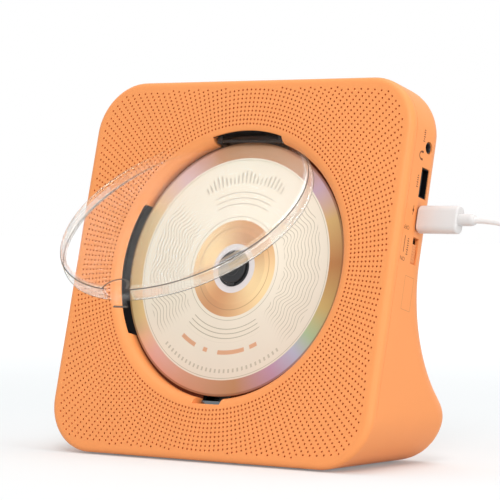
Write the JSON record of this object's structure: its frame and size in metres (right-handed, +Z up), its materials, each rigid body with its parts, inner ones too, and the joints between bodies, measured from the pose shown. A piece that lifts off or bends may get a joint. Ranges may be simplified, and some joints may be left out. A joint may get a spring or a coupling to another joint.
{
  "type": "desktop cd player",
  "caption": "Leaning rounded-square desktop disc player with a perforated front, a disc in a round well, a hinged clear lid and a plugged-in USB cable.",
  "frame": {"origin": "on the table under the middle of the object's box, cable left out", "axes": "+X to the right seen from the front, +Y to the back, +Z up"},
  "size_m": [0.3557, 0.1629, 0.1749],
  "materials": {
    "orange_plastic": "fine satin moulding",
    "clear_plastic": "clear polished",
    "black_plastic": "fine matt moulding",
    "steel": "bright",
    "disc_gold": "mirror under a printed label",
    "lens_glass": "coated",
    "paper": "pressed paper",
    "magnet_iron": "bare",
    "board_green": "lacquered",
    "battery_wrap": "shrink wrap",
    "soft_rubber": "matt",
    "white_plastic": "soft satin",
    "tie_black": "matt"
  },
  "bodies": {
    "housing": {"front_cover": "orange_plastic", "rear_shell": "orange_plastic", "disc_tray": "black_plastic", "hinge_bracket": "black_plastic", "headphone_jack": "black_plastic", "switch_body": "black_plastic", "speaker_frames": "black_plastic", "hinge_pin": "steel", "lid_catch": "steel", "spindle_motor": "steel", "mech_plate": "steel", "guide_rods": "steel", "sled_motor": "steel", "case_screws": "steel", "usb_a_socket": "steel", "usb_c_socket": "steel", "plug_shell": "steel", "far_plug_shell": "steel", "speaker_cones": "paper", "speaker_magnets": "magnet_iron", "main_board": "board_green", "socket_board": "board_green", "button_board": "board_green", "battery_pack": "battery_wrap", "foot_pads": "soft_rubber", "chassis_dampers": "soft_rubber", "plug_grip": "white_plastic", "strain_relief": "white_plastic", "cord_run": "white_plastic", "cord_coil": "white_plastic", "far_plug_grip": "white_plastic", "coil_tie": "tie_black"},
    "lid": {"lid": "clear_plastic"},
    "rotor": {"disc": "disc_gold", "spindle_hub": "black_plastic", "spindle_shaft": "steel"},
    "sled": {"pickup_body": "black_plastic", "pickup_lens": "lens_glass"},
    "sled_gear": {"sled_gear": "black_plastic"},
    "power_knob": {"power_knob": "orange_plastic"},
    "button_previous": {"button_previous": "orange_plastic"},
    "button_play": {"button_play": "orange_plastic"},
    "button_next": {"button_next": "orange_plastic"},
    "button_quieter": {"button_quieter": "orange_plastic"},
    "button_louder": {"button_louder": "orange_plastic"}
  },
  "joints": [
    {"name": "lid_hinge", "type": "hinge", "parent": "housing", "child": "lid", "pos_m": [0, 0.03402, 0.14649], "axis": [-1, 0, 0], "range_deg": [-39.5, 4]},
    {"name": "disc_spin", "type": "hinge", "parent": "housing", "child": "rotor", "pos_m": [0, 0.02509, 0.08668], "axis": [0, -0.9703, 0.2419], "continuous": true},
    {"name": "sled_slide", "type": "slide", "parent": "housing", "child": "sled", "axis": [0, -0.2419, -0.9703], "range_m": [0, 0.033]},
    {"name": "sled_gear_spin", "type": "hinge", "parent": "housing", "child": "sled_gear", "pos_m": [-0.0263, 0.01929, 0.0469], "axis": [0, -0.9703, 0.2419], "range_deg": [-417, 5]},
    {"name": "power_slide", "type": "slide", "parent": "housing", "child": "power_knob", "axis": [0, 0.2419, 0.9703], "range_m": [0, 0.0026]},
    {"name": "button_previous_press", "type": "slide", "parent": "housing", "child": "button_previous", "axis": [0, -0.2419, -0.9703], "range_m": [0, 0.0008], "stiffness_N_per_m": 900},
    {"name": "button_play_press", "type": "slide", "parent": "housing", "child": "button_play", "axis": [0, -0.2419, -0.9703], "range_m": [0, 0.0008], "stiffness_N_per_m": 900},
    {"name": "button_next_press", "type": "slide", "parent": "housing", "child": "button_next", "axis": [0, -0.2419, -0.9703], "range_m": [0, 0.0008], "stiffness_N_per_m": 900},
    {"name": "button_quieter_press", "type": "slide", "parent": "housing", "child": "button_quieter", "axis": [0, -0.2419, -0.9703], "range_m": [0, 0.0008], "stiffness_N_per_m": 900},
    {"name": "button_louder_press", "type": "slide", "parent": "housing", "child": "button_louder", "axis": [0, -0.2419, -0.9703], "range_m": [0, 0.0008], "stiffness_N_per_m": 900}
  ],
  "couplings": [
    {"joint": "sled_gear_spin", "follows": "sled_slide", "rad_per_m": -217.39}
  ]
}
